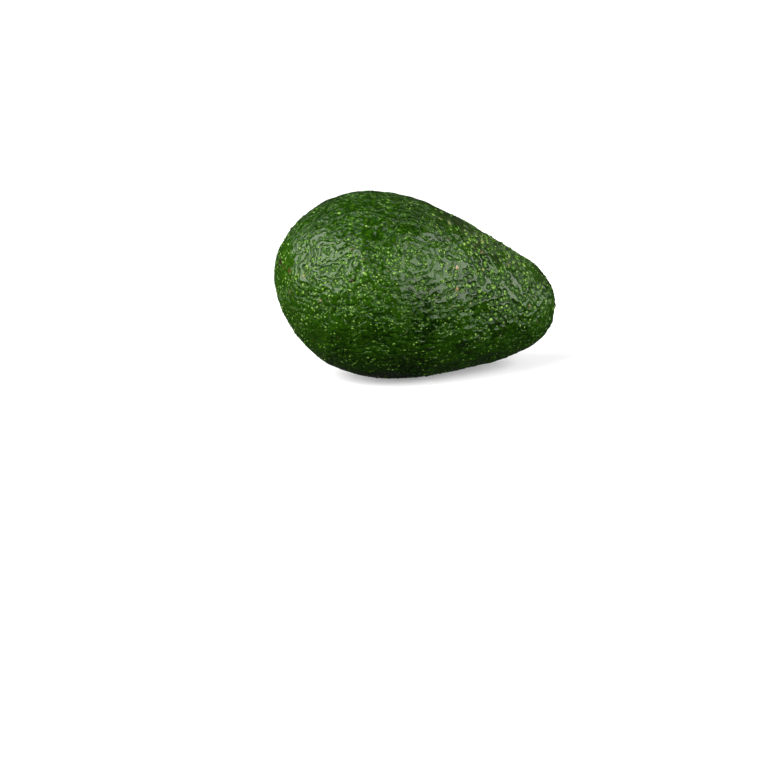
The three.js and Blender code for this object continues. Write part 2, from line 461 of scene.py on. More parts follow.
calmer_by_stem = remap(relief, along_x, *metres(CALM_ALONG), 1.0, 0.35)
neck = product(
    relief,
    remap(relief, along_x, *metres(NECK_ALONG)),
    by_height(NECK_HEIGHT),
    calmer_by_stem,
)
print("the neck's skin starts at", NECK_ALONG[0], "mm along the fruit")

# %% [markdown]
# ### Swellings, ripples and ledges
# All three are noise. The ripples are stretched a little along the fruit and the ledges a lot, which
# gives short flat steps.

# %% Swellings, ripples and ledges
RIPPLE_STRETCH = (0.55, 1.0, 1.0)
RIPPLE_LOW = (8.0, 28.0)
LEDGE_SIZE = 2.3
LEDGE_STRETCH = (0.36, 1.0, 1.0)
LEDGE_LOW = (24.0, 38.0)
LEDGE_ALONG = (-24.0, -4.0)

swell = product(relief, swing(given["Swell Size"], Detail=1.0), given["Swell Height"])
lengthwise = vector_maths(relief, "MULTIPLY", place, RIPPLE_STRETCH)
ripple = product(
    relief,
    swing(given["Ripple Size"], Vector=lengthwise, Detail=1.0, Distortion=0.4),
    given["Ripple Height"],
    remap(relief, neck, 0, 1, 1.0, 0.5),
    by_height(RIPPLE_LOW, 0.55, 1.0),
)
flattened = vector_maths(relief, "MULTIPLY", place, LEDGE_STRETCH)
ledges = product(
    relief,
    swing(LEDGE_SIZE, Vector=flattened, Detail=1.0),
    given["Ledge Height"],
    by_height(LEDGE_LOW, 1.0, 0.0),
    remap(relief, along_x, *metres(LEDGE_ALONG)),
    calmer_by_stem,
)
print("nodes so far:", len(relief.nodes))

# %% [markdown]
# ### The course of the creases
# The product of the distances from two places grows outwards like rings round both. Its root, over
# the spacing, is the contour: where it passes a whole number there is a crease, and between two
# creases lies a plate. Slow noise lets the contour wander, and quicker noise frays it.

# %% Rings round two places, pushed about by noise
RING_MIDDLES = ((-37.0, -19.4, 50.2), (-7.2, -31.4, 48.1))
RING_CORE = 8.0
WANDER_SIZE = 10.0
WANDER = 19.0
RAGGED = ((3.6, 1.3), (1.5, 0.55))

rings, across_rings = 1.0, (0, 0, 0)
for ring_middle in RING_MIDDLES:
    outward = vector_maths(relief, "SUBTRACT", place, Vector(ring_middle) * MM)
    away_from = maths(relief, "DIVIDE", vector_maths(relief, "LENGTH", outward), MM)
    away_from = total(relief, away_from, RING_CORE)
    rings = product(relief, rings, away_from)
    nearer = vector_maths(relief, "SCALE", outward, scale=maths(relief, "POWER", away_from, -2.0))
    across_rings = vector_maths(relief, "ADD", across_rings, nearer)


def turned_away(tree, where):
    """The place turned about a slanting axis, so that no bend of a noise lies along the axes."""
    turn = {"Vector": where, "Axis": (1.0, 2.0, 3.0), "Angle": 0.9}
    return add(tree, "ShaderNodeVectorRotate", turn, rotation_type="AXIS_ANGLE").outputs[0]


def frayed(tree, contour, where):
    """The creases' course with ragged bends of a few sizes, the same in the tree and in the material."""
    where = turned_away(tree, where)
    for size, strength in RAGGED:
        bend = maths(tree, "SUBTRACT", noise_at(tree, where, size, detail=1.0, distortion=0.4), 0.5)
        contour = total(tree, contour, product(tree, bend, strength))
    return contour


def nearness_to_crease(tree, contour):
    """0 in the middle of a plate, 1 in the crease between two plates."""
    from_middle = maths(tree, "SUBTRACT", maths(tree, "FRACT", contour), 0.5)
    return product(tree, maths(tree, "ABSOLUTE", from_middle), 2.0)


wander = relief_noise(WANDER_SIZE, Vector=turned_away(relief, place), Detail=2.0, Distortion=0.6)[0]
contour = total(relief, maths(relief, "SQRT", rings), product(relief, wander, WANDER))
contour = maths(relief, "DIVIDE", contour, given["Crease Spacing"])
print("nodes so far:", len(relief.nodes))

# %% [markdown]
# The creases are deep in some patches and shallow in others. They are faint low down, near the top
# and at the blossom end, and on the neck the pits take their place.

# %% Depth of the creases
PATCH_SIZE = 7.0
PLATES_FROM_BLOSSOM = (5.0, 15.0)
PLATES_LOW = (24.0, 40.0)
PLATES_TOP = (52.0, 64.0)

crease = remap(relief, nearness_to_crease(relief, frayed(relief, contour, place)), 0.48, 1.0)
patches = product(
    relief,
    remap(relief, relief_noise(PATCH_SIZE, Detail=2.0)[0], 0.36, 0.54, 0.5, 1.0),
    remap(relief, stored("from_blossom"), *PLATES_FROM_BLOSSOM),
    by_height(PLATES_LOW, 0.35, 1.0),
    by_height(PLATES_TOP, 1.0, 0.6),
)
fewer_on_neck = remap(relief, neck, 0, 0.45, 1.0, 0.1)
ridge = product(relief, crease, given["Crease Depth"], -1.0, patches, fewer_on_neck)
print("nodes so far:", len(relief.nodes))

# %% [markdown]
# ### Wrinkles round the stem
# This noise is looked up on a circle round the stem, so that it meets itself after a full turn. It
# changes slowly along the fruit, which draws it out into rays.

# %% Wrinkles, and all the relief put together
WRINKLES = 30
WRINKLE_CHANGE = 0.09
WRINKLE_FINENESS = 1.4
WRINKLE_BOOST = 4.0
WRINKLES_END = (9.0, 17.0)
WRINKLES_START = (5.6, 7.0)

round_stem = {
    "X": product(relief, stored("stem_cos"), WRINKLES / math.tau),
    "Y": product(relief, stored("stem_sin"), WRINKLES / math.tau),
    "Z": product(relief, stored("from_stem"), WRINKLE_CHANGE),
}
rays = {
    "Vector": add(relief, "ShaderNodeCombineXYZ", round_stem).outputs[0],
    "Scale": WRINKLE_FINENESS,
    "Detail": 1.0,
}
rays = maths(relief, "SUBTRACT", add(relief, "ShaderNodeTexNoise", rays).outputs[0], 0.5)
near_stem = remap(relief, stored("from_stem"), *WRINKLES_END, 1.0, 0.0)
out_of_socket = remap(relief, stored("from_stem"), *WRINKLES_START)
round_socket = product(relief, near_stem, out_of_socket)
rays = product(relief, rays, given["Wrinkle Height"], WRINKLE_BOOST, round_socket)

skin_lift = product(relief, total(relief, swell, ripple, ridge, ledges), stored("relief_fade"))
skin_lift = total(relief, skin_lift, rays)
lift = vector_maths(relief, "SCALE", normal, scale=mm_to_m(skin_lift))
kept = given["Geometry"]
for name, value in (("contour", contour), ("patches", patches), ("neck", neck)):
    kept = with_attribute(kept, name, value)
crinkled = moved(kept, lift)
print("nodes so far:", len(relief.nodes))

# %% [markdown]
# ### Lenticels and their pits
# Poisson scattering keeps the lenticels apart, and a slow noise crowds them in some patches and thins
# them in others. They stand closest on the neck and are few on top. Low down they are thinned too, a
# painted shade that darkens the underside. Each gets a bigness by chance, mostly a small one.

# %% Scatter the lenticels
CROWD_SIZE = 7.0
NECK_CROWDING = 0.75
DOTS_TOP = (48.0, 62.0)
DOTS_LOW = (4.0, 26.0)
DOTS_FROM_STEM = (7.0, 12.0)
LENTICELS_PER_MM2 = 0.9
LENTICEL_BIGNESS = (0.8, 1.35)

crowding = remap(relief, relief_noise(CROWD_SIZE, Detail=2.0)[0], 0.40, 0.56, 0.25, 1.0)
crowding = maths(relief, "MAXIMUM", crowding, product(relief, stored("neck"), NECK_CROWDING))
sparse_on_top = by_height(DOTS_TOP, 1.0, 0.3)
# Painted shade: fewer pale lenticels low down darken the underside.
painted_shade_below = by_height(DOTS_LOW, 0.5, 1.0)
crowding = product(relief, crowding, sparse_on_top, painted_shade_below)
clear_of_stem = remap(relief, stored("from_stem"), *DOTS_FROM_STEM)


def scattered(mesh, spacing, per_mm2, density, sizes, seed):
    """Points of one size class, each with its own bigness and the way it faces, and their normals."""
    inputs = {
        "Mesh": mesh,
        "Distance Min": mm_to_m(spacing),
        "Density Max": per_mm2 / MM**2,
        "Density Factor": product(relief, density, clear_of_stem),
        "Seed": seed,
    }
    points = add(relief, "GeometryNodeDistributePointsOnFaces", inputs, distribute_method="POISSON").outputs
    mostly_small = maths(relief, "POWER", random_between(0.0, 1.0, seed + 50), 2.0)
    bigness = remap(relief, mostly_small, 0, 1, *sizes, smooth=False)
    geometry = with_attribute(points["Points"], "bigness", bigness, data_type="FLOAT")
    geometry = with_attribute(geometry, "facing", points["Rotation"], data_type="QUATERNION")
    return geometry, points["Normal"]


lenticel_points, lenticel_normals = scattered(
    crinkled, given["Lenticel Spacing"], LENTICELS_PER_MM2, crowding, LENTICEL_BIGNESS, SEED
)
print("nodes so far:", len(relief.nodes))

# %% Press a pit round each lenticel, deep on the neck and faint elsewhere
PIT_SHARE = (0.2, 1.0)
PIT_STRETCH = (0.72, 1.0, 1.0)
PIT_UNEVEN_SIZE = 1.5
PIT_UNEVEN = 2.6
PIT_SLOPE = (1.5, 3.6)

nearest = add(relief, "GeometryNodeSampleNearest", {"Geometry": lenticel_points}, domain="POINT").outputs[0]


def at_nearest_dot(value, **settings):
    inputs = {"Geometry": lenticel_points, "Value": value, "Index": nearest}
    return add(relief, "GeometryNodeSampleIndex", inputs, **settings).outputs[0]


pit_depth = by_neck(*PIT_SHARE, smooth=False)
pit_depth = product(relief, pit_depth, given["Pit Depth"], stored("relief_fade"))
to_dot = vector_maths(relief, "SUBTRACT", place, at_nearest_dot(place, data_type="FLOAT_VECTOR"))
from_dot = vector_maths(relief, "LENGTH", vector_maths(relief, "MULTIPLY", to_dot, PIT_STRETCH))
dot_radius = mm_to_m(product(relief, at_nearest_dot(stored("bigness")), given["Lenticel Radius"]))
uneven_rim = product(relief, swing(PIT_UNEVEN_SIZE, Detail=1.0), PIT_UNEVEN)
from_dot = total(relief, maths(relief, "DIVIDE", from_dot, dot_radius), uneven_rim)
pit = remap(relief, from_dot, *PIT_SLOPE, -1.0, 0.0)
press = vector_maths(relief, "SCALE", normal, scale=mm_to_m(product(relief, pit, pit_depth)))
skin_done = moved(with_attribute(crinkled, "from_dot", from_dot), press)
sunk = mm_to_m(product(relief, pit_depth, -1.0))
lenticel_points = moved(lenticel_points, vector_maths(relief, "SCALE", lenticel_normals, scale=sunk))
print("nodes so far:", len(relief.nodes))

# %% [markdown]
# ### Specks
# The specks are smaller dots, most of them in rows in the creases and some strewn like the lenticels.
# They take the crease's course from the contour that the tree has stored on the skin.

# %% Scatter the specks, in rows in the creases
CREASE_ROW = (0.66, 0.82)
SPECKS_IN_CREASE = 0.9
SPECKS_STREWN = 0.26
SPECKS_LOW = (4.0, 30.0)
SPECKS_PER_MM2 = 2.4
SPECK_BIGNESS = (0.75, 1.6)

crease_near = nearness_to_crease(relief, frayed(relief, stored("contour"), place))
in_crease = product(
    relief,
    remap(relief, crease_near, *CREASE_ROW),
    remap(relief, stored("patches"), 0.2, 1, 0.3, 1.0),
    by_neck(1.0, 0.1),
)
strewn = total(
    relief, product(relief, in_crease, SPECKS_IN_CREASE), product(relief, crowding, SPECKS_STREWN)
)
# Painted shade: fewer specks low down darken the underside.
painted_shade_specks_below = by_height(SPECKS_LOW, 0.5, 1.0)
strewn = product(relief, strewn, product(relief, sparse_on_top, painted_shade_specks_below))
speck_size = maths(relief, "DIVIDE", given["Speck Radius"], given["Lenticel Radius"])
speck_sizes = [product(relief, speck_size, share) for share in SPECK_BIGNESS]
speck_points, _ = scattered(
    skin_done, given["Speck Spacing"], SPECKS_PER_MM2, strewn, speck_sizes, SEED + 7
)
print("nodes so far:", len(relief.nodes))

# %% [markdown]
# ### Domes
# A dome stands on each point. It is drawn out by chance, mostly a little, and lies more or less
# along the rings. The domes on the neck are the biggest.

# %% Stand the domes on their places
TURN = 1.2
MOST_STRETCH = 1.9
BIGGER_ON_NECK = 1.6

facing = add(relief, "GeometryNodeInputNamedAttribute", {"Name": "facing"}, data_type="QUATERNION").outputs[0]
facing = {"Rotation": facing, "Vector": across_rings}
facing = add(relief, "FunctionNodeAlignRotationToVector", facing, axis="Y", pivot_axis="Z").outputs[0]
spin = {"Axis": (0, 0, 1), "Angle": random_between(-TURN, TURN, SEED + 2)}
spin = add(relief, "FunctionNodeAxisAngleToRotation", spin).outputs[0]
turned = {"Rotation": facing, "Rotate By": spin}
turned = add(relief, "FunctionNodeRotateRotation", turned, rotation_space="LOCAL").outputs[0]
stretch = maths(relief, "POWER", random_between(0.0, 1.0, SEED + 3), 2.0)
stretch = remap(relief, stretch, 0, 1, 1.0, MOST_STRETCH, smooth=False)
bigger_on_neck = by_neck(1.0, BIGGER_ON_NECK)
dome_radius = product(relief, stored("bigness"), given["Lenticel Radius"], bigger_on_neck)
dome_height = product(relief, stored("bigness"), given["Lenticel Height"], bigger_on_neck)
dome_size = {
    "X": mm_to_m(product(relief, dome_radius, stretch)),
    "Y": mm_to_m(dome_radius),
    "Z": mm_to_m(dome_height),
}
dome_size = add(relief, "ShaderNodeCombineXYZ", dome_size).outputs[0]
dome_shape = add(relief, "GeometryNodeObjectInfo", {"Object": given["Dome"]}).outputs["Geometry"]


def domes_on(points, dullest, palest):
    """Domes on the points, each with a tone of its own between the two limits."""
    tone = random_between(dullest, palest, SEED + 4)
    domes = {"Points": points, "Instance": dome_shape, "Rotation": turned, "Scale": dome_size}
    domes = add(relief, "GeometryNodeInstanceOnPoints", domes).outputs[0]
    return with_attribute(domes, "tone", tone, domain="INSTANCE")


print("nodes so far:", len(relief.nodes))

# %% [markdown]
# Domes high on the flank are paler than those low down, a painted highlight where the softboxes shine
# on them, and domes at the blunt end are paler too. After the domes are made real, noise pushes their
# points a little, so that none is quite round.

# %% End of the tree: choose a part, keep it above the table, realize and set the material
PAINTED_HIGHLIGHT_LOW = (30.0, 44.0)
PAINTED_HIGHLIGHT_TOP = (46.0, 58.0)
PALE_FROM_BLOSSOM = (20, 65)
PALEST_SPECK = 0.97
PUSH_SIZE = 0.8
PUSH = 0.6

# Painted highlight: paler tones for the domes on the upper flank.
painted_highlight_above = product(relief, by_height(PAINTED_HIGHLIGHT_LOW, 0.0, 0.55), by_height(PAINTED_HIGHLIGHT_TOP, 1.0, 0.1))
paler_at_blunt_end = remap(relief, stored("from_blossom"), *PALE_FROM_BLOSSOM, 0.3, 0.0)
paler = maths(relief, "MAXIMUM", painted_highlight_above, paler_at_blunt_end)
paler = product(relief, paler, by_neck(1.0, 0.5))
lenticel_domes = domes_on(lenticel_points, product(relief, paler, 0.5), 1.0)
speck_domes = domes_on(speck_points, paler, PALEST_SPECK)
choice = add(relief, "GeometryNodeIndexSwitch", {"Index": given["Part"]}, data_type="GEOMETRY")
choice.index_switch_items.new()
for index, part_made in enumerate((skin_done, lenticel_domes, speck_domes)):
    relief.links.new(part_made, choice.inputs[str(index)])
realized = add(relief, "GeometryNodeRealizeInstances", {"Geometry": choice.outputs[0]}).outputs[0]

pushed = relief_noise(PUSH_SIZE, Detail=1.0)["Color"]
pushed = vector_maths(relief, "SUBTRACT", pushed, (0.5, 0.5, 0.5))
on_domes_only = product(relief, maths(relief, "MINIMUM", given["Part"], 1), PUSH)
realized = moved(realized, vector_maths(relief, "SCALE", pushed, scale=mm_to_m(on_domes_only)))
above_table = {"X": along_x, "Y": across_y, "Z": maths(relief, "MAXIMUM", height_there, 0.0)}
above_table = {
    "Geometry": realized,
    "Position": add(relief, "ShaderNodeCombineXYZ", above_table).outputs[0],
}
realized = add(relief, "GeometryNodeSetPosition", above_table).outputs[0]
finished = {"Geometry": realized, "Material": given["Material"]}
finished = add(relief, "GeometryNodeSetMaterial", finished).outputs[0]
relief.links.new(finished, result.inputs[0])
print("nodes in the relief tree:", len(relief.nodes))

# %% [markdown]
# ## The finish of the skin
# The skin is a thin waxy coat over green. Deep and fresh green change in patches, with a fine mottle of
# lighter green; the green is fresher towards the blunt end and darker towards the top. The creases and
# pits are painted a darker green, a painted shade in the hollows. Fine paler dots lie in clusters and
# bright beads in the creases, and a few specks of brown cork are scattered over the blunt end. The ridge
# of the neck has greyish streaks. A few larger marks of pale and dark cork lie where the photograph has
# them.

# %% Colours and marks
DEEP_GREEN = (0.0020, 0.0098, 0.0006)
FRESH_GREEN = (0.0102, 0.0400, 0.0008)
# The next two greens are painted shade, laid into the creases and the pits.
CREASE_SHADE_GREEN = (0.0055, 0.0320, 0.0007)
PIT_SHADE_GREEN = (0.0070, 0.0380, 0.0008)
MOTTLE_GREEN = (0.0215, 0.0670, 0.0018)
DOT_GREEN = (0.036, 0.092, 0.006)
BEAD_GREEN = (0.110, 0.240, 0.018)
CORK_BROWN = (0.045, 0.026, 0.008)
PALE_CORK = (0.36, 0.24, 0.12)
DARK_CORK = (0.020, 0.012, 0.006)
BROWN_CORK = (0.042, 0.034, 0.008)
STREAK_GREY = (0.040, 0.046, 0.020)
MARKS = (
    # middle of the mark and its radius in millimetres, colour
    ((8.6, -29.1, 44.7), 0.95, PALE_CORK),
    ((7.7, -31.6, 37.4), 0.85, PALE_CORK),
    ((9.5, -31.6, 30.3), 0.8, BROWN_CORK),
    ((-40.0, -20.4, 34.9), 0.6, PALE_CORK),
    ((-46.6, -8.0, 43.6), 1.3, BROWN_CORK),
    ((-46.8, -8.4, 36.0), 1.2, BROWN_CORK),
    ((-47.6, 0.0, 45.1), 2.0, DARK_CORK),
    ((-30.6, -27.9, 42.6), 1.1, DARK_CORK),
    ((7.8, -22.7, 54.3), 0.9, BROWN_CORK),
)
print("cork marks:", len(MARKS))


# %% Helpers of the materials
def new_material(name):
    material = bpy.data.materials.new(name)
    material.use_nodes = True
    return material, material.node_tree, material.node_tree.nodes["Principled BSDF"]


def attribute(tree, name):
    return add(tree, "ShaderNodeAttribute", attribute_name=name).outputs["Fac"]


def cells_at(tree, where, size_mm):
    """Distance from the nearest of many scattered points, 0 at the point itself."""
    inputs = {"Vector": where, "Scale": 1 / (size_mm * MM), "Randomness": 1.0}
    return add(tree, "ShaderNodeTexVoronoi", inputs).outputs["Distance"]


# %% Greens of the skin: patches, crests, creases and pits
PATCHES_OF_GREEN = 12
FRESH_FROM_BLOSSOM = (20, 60)
DEEP_TOP = (46, 62)
MOTTLE_SIZE = 1.3

skin_material, tree, shader = new_material("waxy green skin")
where = add(tree, "ShaderNodeTexCoord").outputs["Object"]
patch = remap(tree, noise_at(tree, where, PATCHES_OF_GREEN, detail=4, roughness=0.6), 0.38, 0.62)
blunt_end = remap(tree, attribute(tree, "from_blossom"), *FRESH_FROM_BLOSSOM, 0.8, 0.0)
patch = maths(tree, "ADD", patch, blunt_end, clamp=True)
# The green turns darker towards the top.
up_there = add(tree, "ShaderNodeSeparateXYZ", {0: where}).outputs[2]
patch = product(tree, patch, remap(tree, up_there, *metres(DEEP_TOP), 1.0, 0.35))
colour = mix_colours(tree, patch, DEEP_GREEN, FRESH_GREEN)

on_neck = attribute(tree, "neck")
to_crease = nearness_to_crease(tree, frayed(tree, attribute(tree, "contour"), where))
crease = product(
    tree,
    remap(tree, to_crease, 0.48, 0.78),
    attribute(tree, "patches"),
    remap(tree, on_neck, 0, 0.45, 1.0, 0.0),
)
mottle = remap(tree, noise_at(tree, where, MOTTLE_SIZE, detail=3, roughness=0.6), 0.45, 0.66)
colour = mix_colours(tree, product(tree, mottle, 0.75), colour, MOTTLE_GREEN)
# Painted shade: the creases are darkened.
colour = mix_colours(tree, product(tree, crease, 0.8), colour, CREASE_SHADE_GREEN)
from_dot = attribute(tree, "from_dot")
# Painted shade: the pits round the lenticels are darkened, more on the neck.
pit_shade = remap(tree, from_dot, 1.1, 3.4, 1.0, 0.0)
pit_shade = product(tree, pit_shade, remap(tree, on_neck, 0, 1, 0.45, 0.7))
colour = mix_colours(tree, pit_shade, colour, PIT_SHADE_GREEN)
colour = mix_colours(tree, remap(tree, from_dot, 0.7, 2.0, 0.55, 0.0), colour, DOT_GREEN)
print("nodes of the skin so far:", len(tree.nodes))

# %% Small dots, beads in the creases and specks of cork
SMALL_DOT_SPACING = 1.15
SMALL_DOT_CLUSTERS = 6
BEAD_SPACING = 0.95
CORK_SPACING = 6.5
CORK_FROM_BLOSSOM = (22, 45)

small = product(
    tree,
    remap(tree, cells_at(tree, where, SMALL_DOT_SPACING), 0.14, 0.40, 1.0, 0.0),
    remap(tree, noise_at(tree, where, SMALL_DOT_CLUSTERS, detail=2), 0.42, 0.58, 0.25, 1.0),
)
colour = mix_colours(tree, product(tree, small, 0.8), colour, DOT_GREEN)
beads = product(
    tree,
    remap(tree, cells_at(tree, where, BEAD_SPACING), 0.05, 0.50, 1.0, 0.0),
    remap(tree, crease, 0.3, 0.8),
)
colour = mix_colours(tree, product(tree, beads, 0.9), colour, BEAD_GREEN)
cork = product(
    tree,
    remap(tree, cells_at(tree, where, CORK_SPACING), 0.05, 0.11, 1.0, 0.0),
    remap(tree, attribute(tree, "from_blossom"), *CORK_FROM_BLOSSOM, 1.0, 0.25),
)
colour = mix_colours(tree, cork, colour, CORK_BROWN)
print("nodes of the skin so far:", len(tree.nodes))

# %% Greyish streaks on the ridge of the neck and the larger marks
RIDGE_DIRECTION = (0.62, 0, 1)
RIDGE_REACH = (57, 66)
STREAK_STRETCH = (0.22, 1, 1)
STREAK_SIZE = 1.6
MARK_BEND_SIZE = 1.1
MARK_BEND = 1.6

high_and_along = vector_maths(tree, "DOT_PRODUCT", where, RIDGE_DIRECTION)
along_ridge = remap(tree, on_neck, 0, 1, 0.3, 1.0)
ridge_of_neck = product(tree, remap(tree, high_and_along, *metres(RIDGE_REACH)), along_ridge)
along = vector_maths(tree, "MULTIPLY", where, STREAK_STRETCH)
streaks = remap(tree, noise_at(tree, along, STREAK_SIZE, detail=3, roughness=0.6), 0.40, 0.62)
# Greyish streaks along the top ridge of the neck.
colour = mix_colours(tree, product(tree, streaks, ridge_of_neck, 0.5), colour, STREAK_GREY)

bend = {"Vector": where, "Scale": 1 / (MARK_BEND_SIZE * MM), "Detail": 2.0}
bend = add(tree, "ShaderNodeTexNoise", bend).outputs["Color"]
bend = vector_maths(tree, "SUBTRACT", bend, (0.5, 0.5, 0.5))
bent = vector_maths(tree, "ADD", where, vector_maths(tree, "SCALE", bend, scale=MARK_BEND * MM))
for mark_middle, mark_radius, mark_colour in MARKS:
    spread = vector_maths(tree, "DISTANCE", bent, Vector(mark_middle) * MM)
    share = remap(tree, spread, 0.55 * mark_radius * MM, mark_radius * MM, 0.95, 0.0)
    colour = mix_colours(tree, share, colour, mark_colour)
tree.links.new(colour, shader.inputs["Base Color"])
print("nodes of the skin so far:", len(tree.nodes))

# %% [markdown]
# The wax is glossy on the plates and duller at the bottom of creases and pits. Its roughness
# changes a little in patches too.

# %% Gloss of the wax
WAX_IOR = 1.37
WAX_TINT = (0.90, 1.0, 0.80, 1)
GLOSS_PATCHES = 3.0
ROUGHNESS = (0.10, 0.18)
DULLER_LOW_DOWN = 0.52

gloss = remap(tree, noise_at(tree, where, GLOSS_PATCHES, detail=2), 0.3, 0.7, *ROUGHNESS)
pit_bottom = product(tree, remap(tree, from_dot, 2.4, 3.2, 1.0, 0.0), on_neck)
low_down = maths(tree, "MAXIMUM", remap(tree, crease, 0.20, 0.60), pit_bottom)
gloss = total(tree, gloss, product(tree, low_down, DULLER_LOW_DOWN))
tree.links.new(gloss, shader.inputs["Roughness"])
shader.inputs["IOR"].default_value = WAX_IOR
shader.inputs["Specular Tint"].default_value = WAX_TINT
print("index of refraction of the wax:", WAX_IOR)

# %% [markdown]
# What is finer than the mesh is bump: the creases and pits once more with crisp edges, the small
# dots, the beads, low pebbles off the neck and a faint unevenness. All heights are in millimetres.

# %% Bump of the skin
CREASE_BUMP = -0.44
PIT_BUMP = (-0.04, -0.30)
SMALL_DOT_BUMP = 0.05
BEAD_BUMP = 0.20
PEBBLE_BUMP = -0.14
PEBBLE_SIZE = 2.5
PEBBLE_STRETCH = (0.7, 1, 1)
UNEVEN_SIZE = 1.8
UNEVEN_BUMP = 0.16

pit = product(tree, remap(tree, from_dot, 2.0, 3.4, 1.0, 0.0), remap(tree, on_neck, 0, 1, *PIT_BUMP))
lying = vector_maths(tree, "MULTIPLY", where, PEBBLE_STRETCH)
pebbles = {"Vector": lying, "Scale": 1 / (PEBBLE_SIZE * MM), "Smoothness": 0.25}
pebbles = product(
    tree,
    add(tree, "ShaderNodeTexVoronoi", pebbles, feature="SMOOTH_F1").outputs["Distance"],
    remap(tree, noise_at(tree, where, 8, detail=1), 0.36, 0.56, 0.5, 1.0),
    remap(tree, on_neck, 0, 1, PEBBLE_BUMP, 0.0),
)
height = total(
    tree,
    product(tree, crease, CREASE_BUMP),
    pit,
    product(tree, small, SMALL_DOT_BUMP),
    product(tree, beads, BEAD_BUMP),
    pebbles,
    product(tree, noise_at(tree, where, UNEVEN_SIZE, detail=2, roughness=0.5), UNEVEN_BUMP),
)
bump = add(tree, "ShaderNodeBump", {"Height": height, "Distance": MM, "Strength": 1.0})
tree.links.new(bump.outputs[0], shader.inputs["Normal"])
print("nodes of the skin in all:", len(tree.nodes))

# %% [markdown]
# The lenticels are the same wax over a paler, yellower green. Their tone is a random number that
# each dome carries: most are yellow-green, some nearly as green as the skin, and a few have turned
# to pale or brown cork. Their foot is as green as the skin.

# %% Lenticel material
TONES = (
    (0.00, (0.015, 0.055, 0.002)),
    (0.35, (0.048, 0.122, 0.004)),
    (0.70, (0.094, 0.215, 0.018)),
    (0.97, (0.215, 0.365, 0.056)),
    (0.988, (0.230, 0.160, 0.075)),
    (1.00, (0.048, 0.026, 0.009)),
)
GRIME_SIZE = 0.5
LENTICEL_ROUGHNESS = 0.20


def colour_ramp(tree, value, stops):
    node = add(tree, "ShaderNodeValToRGB", {"Fac": value})
    while len(node.color_ramp.elements) < len(stops):
        node.color_ramp.elements.new(0.5)
    for element, (position, stop_colour) in zip(node.color_ramp.elements, stops):
        element.position = position
        element.color = (*stop_colour, 1)
    return node.outputs["Color"]


lenticel_material, tree, shader = new_material("pale lenticels")
where = add(tree, "ShaderNodeTexCoord").outputs["Object"]
grime = remap(tree, noise_at(tree, where, GRIME_SIZE, detail=2), 0.35, 0.7, 0.0, 0.45)
colour = mix_colours(tree, grime, colour_ramp(tree, attribute(tree, "tone"), TONES), FRESH_GREEN)
colour = mix_colours(tree, remap(tree, attribute(tree, "up"), -0.1, 0.8, 0.9, 0.0), colour, FRESH_GREEN)
tree.links.new(colour, shader.inputs["Base Color"])
shader.inputs["Roughness"].default_value = LENTICEL_ROUGHNESS
shader.inputs["IOR"].default_value = WAX_IOR
shader.inputs["Specular Tint"].default_value = WAX_TINT
print("tones of the lenticels:", len(TONES))

# %% [markdown]
# ### Growing the pieces
# The tree runs three times on the same mesh, once for each part. The result is turned into a plain
# mesh, and the modifier is taken off.

# %% Make the skin, the lenticels and the specks from the one tree
def grown(name, source, settings):
    """The plain mesh that the relief tree makes on a copy of the source."""
    copy = new_object(name, source.copy())
    modifier = copy.modifiers.new("relief", "NODES")
    modifier.node_group = relief
    for socket in relief.interface.items_tree:
        if socket.in_out == "INPUT" and socket.name in settings:
            modifier[socket.identifier] = settings[socket.name]
    evaluated = copy.evaluated_get(bpy.context.evaluated_depsgraph_get())
    mesh = bpy.data.meshes.new_from_object(evaluated)
    copy.modifiers.clear()
    copy.data = mesh
    mesh.name = name
    mesh.shade_smooth()
    return copy


skin = grown("skin", skin_mesh, {"Material": skin_material, "Dome": dome})
lenticels = grown("lenticels", skin_mesh, {"Material": lenticel_material, "Dome": dome, "Part": 1})
specks = grown("specks", skin_mesh, {"Material": lenticel_material, "Dome": small_dome, "Part": 2})
for template in (dome, small_dome):
    bpy.data.objects.remove(template)
for piece in (skin, lenticels, specks):
    piece.data.calc_loop_triangles()
    print(piece.name, "triangles:", len(piece.data.loop_triangles))

# %% [markdown]
# ## The stub of the stem
# Where the fruit was cut or snapped from its stem, a round plug of cork stays in the hollow. Its
# edge is ochre, its scar reddish brown with rings, and the pith in the middle, a little off centre,
# is orange. A lathe shape with uneven rings is moved a little by noise, so that no circle is true.

# %% Stub: radius and height of its rings in millimetres, from the foot to the pith
BUTTON_SIDES = 120
BUTTON_PROFILE = (
    (0.0, -2.0), (2.4, -2.0), (4.2, -2.0), (4.6, -1.3), (4.95, -0.4), (5.05, 0.2), (5.0, 0.55),
    (4.85, 0.82), (4.62, 1.0), (4.35, 1.08), (4.05, 1.06), (3.8, 0.98), (3.6, 0.82), (3.45, 0.68),
    (3.25, 0.66), (3.05, 0.74), (2.85, 0.84), (2.65, 0.86), (2.45, 0.78), (2.25, 0.7), (2.05, 0.72),
    (1.85, 0.82), (1.65, 1.0), (1.45, 1.22), (1.25, 1.38), (1.0, 1.48), (0.75, 1.52), (0.5, 1.53),
    (0.25, 1.52), (0.0, 1.5),
)
BUTTON_RADIUS = 5.05
SCAR_OFFSET = 0.8
SCAR_STARTS = 0.2
SCAR_FULL = 0.8
EDGE_WOBBLE = 0.035
FACE_WOBBLE = 0.26
FACE_GRAIN = 0.13
RING_WOBBLE = 0.35


